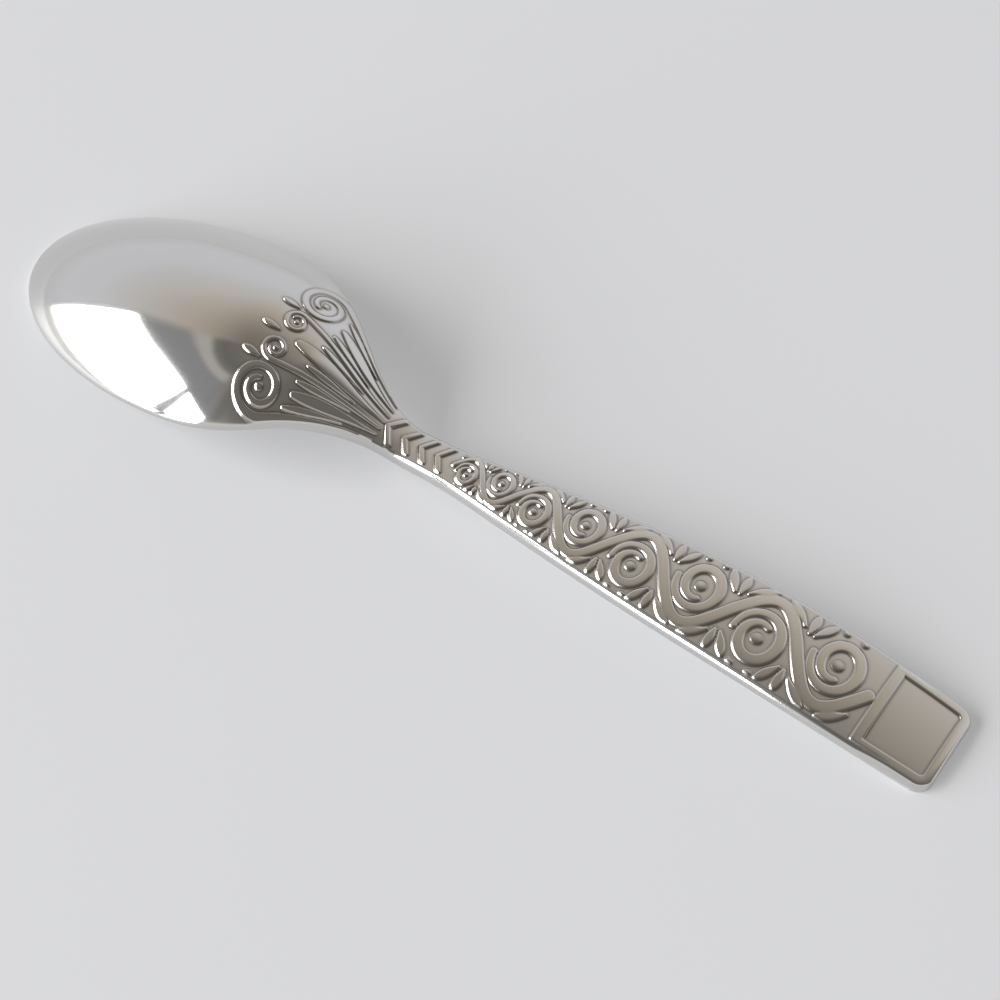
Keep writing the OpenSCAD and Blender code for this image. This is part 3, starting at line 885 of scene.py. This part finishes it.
@dataclass(frozen=True)
class Bowl:
    """The dished front with its rim and hollow, and the palmette on its heel. Millimetres."""

    blank: Blank
    relief: Relief
    front_stations: int = 60
    shoulder_stations: int = 24
    heel_stations: int = 150
    joint_stations: int = 84
    heel_from: float = 28.5
    spine_stop: float = 2.6
    back_rings: int = 128
    side_high: float = 0.5
    side_low: float = 0.3
    lower_round: float = 0.2
    round_steps: int = 4
    hollow_rings: int = 18
    hollow_spacing: float = 0.7
    hollow_turn: float = 38.0
    hollow_round: float = 1.4

    def outline(self) -> tuple[Array, Array]:
        """Walks round the bowl in plan.

        Returns:
            Points of the outline, and the outward direction at each. In the joint with the neck the
            directions lie in the joint's face.
        """
        blank = self.blank
        turn = np.linspace(0.0, math.pi / 2, self.front_stations + 1)[1:]
        shoulder = np.linspace(blank.widest_at, self.heel_from, self.shoulder_stations + 1)[1:]
        heel = np.linspace(self.heel_from, blank.bowl_end, self.heel_stations + 1)[1:]
        x = np.concatenate([blank.widest_at * (1 - np.cos(turn)), shoulder, heel])
        side = np.stack([x, blank.half_width(x)], axis=1)
        run = np.gradient(side, axis=0)
        out = np.stack([-run[:, 1], run[:, 0]], axis=1) / np.hypot(run[:, 0], run[:, 1])[:, None]
        out[-1] = (0.0, 1.0)
        across = np.linspace(-1.0, 1.0, self.joint_stations + 1)[1:-1]
        joint = np.stack([np.full_like(across, blank.bowl_end), across * side[-1, 1]], axis=1)
        near = np.array([1.0, -1.0])
        points = np.concatenate([[[0.0, 0.0]], side * near, joint, side[::-1]])
        joint_out = np.stack([0.0 * across, across], axis=1)
        outward = np.concatenate([[[-1.0, 0.0]], out * near, joint_out, out[::-1]])
        return points, outward

    def spine(self, x: Array) -> Array:
        """Places on the middle line that the rings spread from, for places along the outline."""
        blank = self.blank
        along = np.clip((x - blank.widest_at) / (blank.bowl_end - blank.widest_at), 0.0, 1.0)
        middle = mix(blank.widest_at, blank.bowl_end - self.spine_stop, along)
        return np.stack([middle, 0.0 * middle], axis=1)

    def hollow(self, points: Array) -> list[Array]:
        """Lays the rings of the hollow.

        Args:
            points: The bowl's outline in plan.

        Returns:
            Rings of points, from the hollow's edge to its deepest place.
        """
        blank = self.blank
        centre = np.array([blank.widest_at, 0.0])
        land = mix(blank.rim_land, blank.hollow_stop, blank.to_handle(points[:, 0]))
        late = smooth((points[:, 0] - self.hollow_turn) / (blank.bowl_end - self.hollow_turn))
        off_middle = np.minimum(1.0, np.abs(points[:, 1]) / blank.half_width(blank.bowl_end))
        land += self.hollow_round * late * off_middle ** 2
        reach = np.hypot(*(points - centre).T)
        edge = centre + (points - centre) * (1 - land / reach)[:, None]
        rings = []
        for share in np.linspace(1.0, 0.0, self.hollow_rings) ** self.hollow_spacing:
            place, above = centre + share * (edge - centre), centre + share * (points - centre)
            depth = blank.crown(*above.T) - share ** 2 * blank.crown(*points.T)
            level = blank.under(place[:, 0]) + blank.hollow_share * depth
            rings.append(np.concatenate([place, level[:, None]], axis=1))
        return rings

    def rings(self) -> tuple[Array, Array, Array]:
        """Lays rings from the middle line of the back over the rim to the deepest place of the hollow.

        Returns:
            Rings of points, with the relief's lift and its share of painted shade at each.
        """
        blank = self.blank
        points, outward = self.outline()
        under, edge = blank.under(points[:, 0]), blank.back(points[:, 0], points[:, 1])
        inner, spine = points - outward * blank.rim_round, self.spine(points[:, 0])
        shares = np.linspace(0.0, 1.0, self.back_rings)
        plan = mix(spine, inner, shares[:, None, None])
        lift, groove_shade = self.relief.shape(plan[..., 0], plan[..., 1])
        height = blank.back(plan[..., 0], plan[..., 1]) + lift * self.relief.height
        back = np.concatenate([plan, height[..., None]], axis=2)

        def at(inset: float, level: Array) -> Array:
            """Points at a distance inside the outline, at a level."""
            return np.concatenate([points - outward * inset, level[:, None]], axis=1)

        high, low = at(0.0, mix(edge, under, self.side_high)), at(0.0, mix(under, edge, self.side_low))
        rim = [
            *arc_turn(back[-1], at(0.0, edge), high, self.round_steps),
            low,
            *arc_turn(low, at(0.0, under), at(self.lower_round, under), self.round_steps),
        ]
        hollow = self.hollow(points)
        plain = np.zeros((len(rim) + len(hollow), len(points)))
        return (
            np.concatenate([back, rim, hollow]),
            np.concatenate([lift, plain]),
            np.concatenate([groove_shade, plain]),
        )

    def build(self) -> bpy.types.Object:
        """Makes the bowl as one closed skin."""
        rings, lift, groove_shade = self.rings()
        field = self.blank.field(rings[..., 0])
        field[self.back_rings:] = 0.0
        layers = {Layer.LIFT: lift, Layer.GROOVE_SHADE: groove_shade, Layer.FIELD: field}
        return sheet("bowl_mirror", rings, layers, capped=False)


@dataclass(frozen=True)
class Bar:
    """A stretch of the blank made of sections across its length. Millimetres."""

    blank: Blank
    relief: Relief
    name: str
    start: float
    end: float
    station_gap: float = 0.1
    across: int = 104
    under_across: int = 12
    edge_round: float = 0.19
    bevel_drop: float = 0.42
    relief_fade: float = 0.3
    frame_ease: float = 4.5
    round_steps: int = 4

    def stations(self) -> Array:
        """Places of the sections."""
        return np.linspace(self.start, self.end, round((self.end - self.start) / self.station_gap) + 1)

    def end_drop(self, x: Array) -> Array:
        """Rounding of the upper and lower edge across the end; none here."""
        return 0.0 * x

    def sections(self) -> tuple[Array, Array, Array]:
        """Lays the sections round the bar.

        Returns:
            Rings of points, with the relief's lift and its share of painted shade at each.
        """
        blank, x = self.blank, self.stations()
        wide, drop = blank.half_width(x), self.end_drop(x)
        under, edge = blank.under(x) + drop, blank.back(x, wide) - drop
        own, bevel, lower = blank.from_joint(x), blank.upper_bevel, blank.lower_chamfer
        top_half = wide - mix(blank.rim_round, bevel + self.edge_round, own)
        y = top_half[:, None] * np.linspace(1.0, -1.0, self.across + 1)
        along = np.repeat(x[:, None], self.across + 1, axis=1)
        lift, groove_shade = self.relief.shape(along, y)
        inside = smooth((top_half[:, None] - np.abs(y)) / self.relief_fade)
        inside = mix(1.0, inside, own[:, None])
        inside = np.maximum(inside, smooth((along - self.relief.panel_at) / self.frame_ease))
        lift, groove_shade = lift * inside, groove_shade * inside
        height = blank.back(along, y) + lift * self.relief.height - drop[:, None]

        def at(side: Array, level: Array) -> Array:
            """One point of each section."""
            return np.stack([x, side, level], axis=1)

        def flank(side: int) -> list[Array]:
            """Points down one side: the bowl's round rim at the joint, a bevel from the neck on."""
            column = 0 if side > 0 else -1
            top_level, rim, half_way = height[:, column], blank.rim_round, (edge + under) / 2
            top = at(side * top_half, top_level)
            brow = at(
                side * (wide - mix(rim / 2, bevel, own)),
                mix((top_level + edge) / 2, edge + lift[:, column] * self.relief.height, own),
            )
            middle = at(
                side * (wide - mix(rim / 4, bevel / 2, own)),
                mix((top_level + 2 * edge + half_way) / 4, edge - self.bevel_drop / 2, own),
            )
            cheek = at(side * wide, mix((edge + half_way) / 2, edge - self.bevel_drop, own))
            high = at(side * wide, mix(half_way, edge - self.bevel_drop - self.edge_round, own))
            low, foot = at(side * wide, under + lower), at(side * (wide - lower), under)
            return [
                *arc_turn(top, brow, middle, self.round_steps),
                *arc_turn(middle, cheek, high, self.round_steps),
                low,
                *arc_turn(low, at(side * wide, under), foot, self.round_steps),
            ]

        top = [np.stack([x, y[:, j], height[:, j]], axis=1) for j in range(self.across + 1)]
        shares = np.linspace(-1.0, 1.0, self.under_across + 1)[1:-1]
        bottom = [at(s * (wide - lower), under) for s in shares]
        ring = [*top, *flank(-1), *bottom, *reversed(flank(1))]
        plain = np.zeros((x.size, len(ring) - len(top)))
        return (
            np.stack(ring, axis=1),
            np.concatenate([lift, plain], axis=1),
            np.concatenate([groove_shade, plain], axis=1),
        )

    def build(self) -> bpy.types.Object:
        """Makes the bar as one closed skin."""
        rings, lift, groove_shade = self.sections()
        field = np.zeros_like(lift)
        field[:, 1:self.across] = self.blank.field(rings[:, 1:self.across, 0])
        layers = {Layer.LIFT: lift, Layer.GROOVE_SHADE: groove_shade, Layer.FIELD: field}
        return sheet(self.name, rings, layers, capped=True)


@dataclass(frozen=True)
class Handle(Bar):
    """The broad blade, with rounded corners and a rounded edge across its end."""

    end_round: float = 0.25
    corner_stations: int = 26

    def stations(self) -> Array:
        """Places of the sections, closer together in the rounded corners."""
        straight = self.end - self.blank.corner_radius
        count = round((straight - self.start) / self.station_gap) + 1
        turn = np.linspace(0.0, math.pi / 2, self.corner_stations + 1)[1:]
        corners = straight + self.blank.corner_radius * np.sin(turn)
        return np.concatenate([np.linspace(self.start, straight, count), corners])

    def end_drop(self, x: Array) -> Array:
        """Rounding of the upper and lower edge across the end."""
        d = np.clip((x - self.end + self.end_round) / self.end_round, 0.0, 1.0)
        return self.end_round * (1 - np.sqrt(1 - d * d))


@dataclass(frozen=True)
class Pane:
    """One pane of the window, by its edges as shares of the window's distance."""

    name: str
    left: float
    right: float


@dataclass(frozen=True)
class RoomSide:
    """One side of the room: its bearing, where it fades into the rest, and its tones by height."""

    bearing: float
    fade_from: float
    fade_to: float
    tones: Tones


@dataclass(frozen=True)
class Studio:
    """Table, soft daylight from a window on the left, and the camera. Metres and radians."""

    table_half: float = 0.7
    window_bearing: float = math.radians(-111.0)
    window_distance: float = 2.0
    window_low: float = 0.085
    window_high: float = 0.82
    window_radiance: float = 10.4
    daylight: str = "#FCFDFF"
    room_light: float = 0.45
    panes: tuple[Pane, ...] = (Pane("window_main", -0.78, 0.2), Pane("window_side", -1.9, -0.905))
    walls: Tones = (
        (0.0, "#D9D9DC"), (0.16, "#E2E3E8"), (0.4, "#E0E1E6"), (0.64, "#D6D3CF"),
        (0.77, "#C9C0B5"), (0.87, "#B5AB9E"), (1.0, "#857F77"),
    )
    sides: tuple[RoomSide, ...] = (
        RoomSide(math.radians(-137.0), 0.73, 0.86, (
            (0.0, "#F0EEEA"), (0.06, "#F0EEEA"), (0.1, "#A0A0A3"), (0.79, "#9A9A9B"),
            (0.82, "#C0BCB7"), (0.86, "#C0BCB7"), (0.89, "#86847E"), (0.93, "#787672"), (1.0, "#837F79"),
        )),
        RoomSide(math.radians(121.0), 0.26, 0.58, (
            (0.0, "#E6E4E0"), (0.2, "#E2DFDA"), (0.38, "#75726D"), (0.9, "#75726D"), (1.0, "#837F79"),
        )),
    )
    view_angle: float = math.radians(18.0)
    view_azimuth: float = math.radians(33.4)
    view_elevation: float = math.radians(57.4)
    view_distance: float = 0.3192
    view_near: float = 0.01
    view_target: tuple[float, float, float] = (0.00267, 0.0007, 0.0)

    def bearing(self, angle: float) -> Vector:
        """Level direction at an angle from +Y towards +X."""
        return Vector((math.sin(angle), math.cos(angle), 0.0))

    def table(self) -> bpy.types.Object:
        """Lays the table top under the spoon."""
        bm = bmesh.new()
        bmesh.ops.create_grid(bm, x_segments=2, y_segments=2, size=self.table_half)
        mesh = bpy.data.meshes.new("table_top")
        bm.to_mesh(mesh)
        bm.free()
        table = bpy.data.objects.new("table_top", mesh)
        mesh.materials.append(PaintedTable().material())
        bpy.context.scene.collection.objects.link(table)
        return table

    def window(self) -> None:
        """Hangs the panes of the window as area lights."""
        out = self.bearing(self.window_bearing)
        along = Vector((0.0, 0.0, 1.0)).cross(-out)
        far = self.window_distance
        for pane in self.panes:
            lamp = bpy.data.lights.new(pane.name, "AREA")
            lamp.shape = "RECTANGLE"
            lamp.size = (pane.right - pane.left) * far
            lamp.size_y = (self.window_high - self.window_low) * far
            lamp.energy = self.window_radiance * math.pi * lamp.size * lamp.size_y
            lamp.color = linear(self.daylight)[:3]
            light = bpy.data.objects.new(pane.name, lamp)
            light.location = out * far + along * (pane.left + pane.right) / 2 * far
            light.location.z = (self.window_high + self.window_low) / 2 * far
            light.rotation_euler = out.to_track_quat("Z", "Y").to_euler()
            bpy.context.scene.collection.objects.link(light)

    def tone(
        self, tree: bpy.types.NodeTree, height: bpy.types.NodeSocket, tones: Tones
    ) -> bpy.types.NodeSocket:
        """Colours one side of the room by height.

        Args:
            tree: Node tree of the room.
            height: Socket with the height that a ray looks to, 0 level and 1 straight up.
            tones: Height and hex colour of each stop, in order.

        Returns:
            The socket with the colour.
        """
        node = add_node(tree, "ShaderNodeValToRGB", {0: height})
        stops = node.color_ramp.elements
        while len(stops) < len(tones):
            stops.new(1.0)
        for stop, (place, code) in zip(stops, tones):
            stop.position = place
            stop.color = linear(code)
        return node.outputs[0]

    def room(self) -> None:
        """Lights the rest of the room: pale walls, two dimmer sides and a dull ceiling."""
        world = bpy.data.worlds.new("room")
        world.use_nodes = True
        tree = world.node_tree
        tree.nodes.clear()
        way = add_node(tree, "ShaderNodeTexCoord").outputs["Generated"]
        height = add_node(tree, "ShaderNodeSeparateXYZ", {0: way}).outputs["Z"]
        level = add_node(
            tree, "ShaderNodeVectorMath", {0: way}, {1: (1.0, 1.0, 0.0)}, operation="MULTIPLY"
        )
        level = add_node(tree, "ShaderNodeVectorMath", {0: level.outputs[0]}, operation="NORMALIZE")
        colour = self.tone(tree, height, self.walls)
        for side in self.sides:
            own = self.tone(tree, height, side.tones)
            facing = add_node(
                tree, "ShaderNodeVectorMath", {0: level.outputs[0]},
                {1: self.bearing(side.bearing)}, operation="DOT_PRODUCT",
            )
            share = add_node(
                tree, "ShaderNodeMapRange", {"Value": facing.outputs["Value"]},
                {"From Min": side.fade_from, "From Max": side.fade_to}, interpolation_type="SMOOTHSTEP",
            )
            colour = add_node(
                tree, "ShaderNodeMix", {"Factor": share.outputs[0], COLOUR_A: colour, COLOUR_B: own},
                data_type="RGBA",
            ).outputs[COLOUR_OUT]
        strength = seen_share(tree, self.room_light, 1.0)
        glow = add_node(tree, "ShaderNodeBackground", {"Color": colour, "Strength": strength})
        add_node(tree, "ShaderNodeOutputWorld", {"Surface": glow.outputs[0]})
        bpy.context.scene.world = world

    def camera(self) -> None:
        """Sets the camera at the photograph's viewing angle."""
        flat = math.cos(self.view_elevation)
        back = Vector((
            math.sin(self.view_azimuth) * flat,
            -math.cos(self.view_azimuth) * flat,
            math.sin(self.view_elevation),
        ))
        lens = bpy.data.cameras.new("camera")
        lens.sensor_fit = "HORIZONTAL"
        lens.angle = self.view_angle
        lens.clip_start = self.view_near
        camera = bpy.data.objects.new("camera", lens)
        camera.location = Vector(self.view_target) + back * self.view_distance
        camera.rotation_euler = back.to_track_quat("Z", "Y").to_euler()
        bpy.context.scene.collection.objects.link(camera)
        bpy.context.scene.camera = camera

    def build(self) -> None:
        """Sets up the table, the light and the camera."""
        bpy.context.scene.view_settings.view_transform = "Standard"
        self.table()
        self.window()
        self.room()
        self.camera()


def main() -> None:
    """Builds the spoon's pieces in order and sets the scene round them."""
    logging.basicConfig(level=logging.INFO, format="%(name)s %(message)s")
    blank = Blank.from_frame()
    relief = Relief(blank)
    steel = BuffedSteel().material()
    bowl = Bowl(blank, relief)
    neck = Bar(blank, relief, "neck_bar", blank.bowl_end, blank.neck_end, across=bowl.joint_stations)
    handle = Handle(blank, relief, "handle_blade", blank.neck_end, blank.length)
    for maker, zone in ((bowl, Zone.BOWL), (neck, Zone.NECK), (handle, Zone.HANDLE)):
        dress(maker.build(), steel, zone)
    Studio().build()


if __name__ == "__main__":
    main()
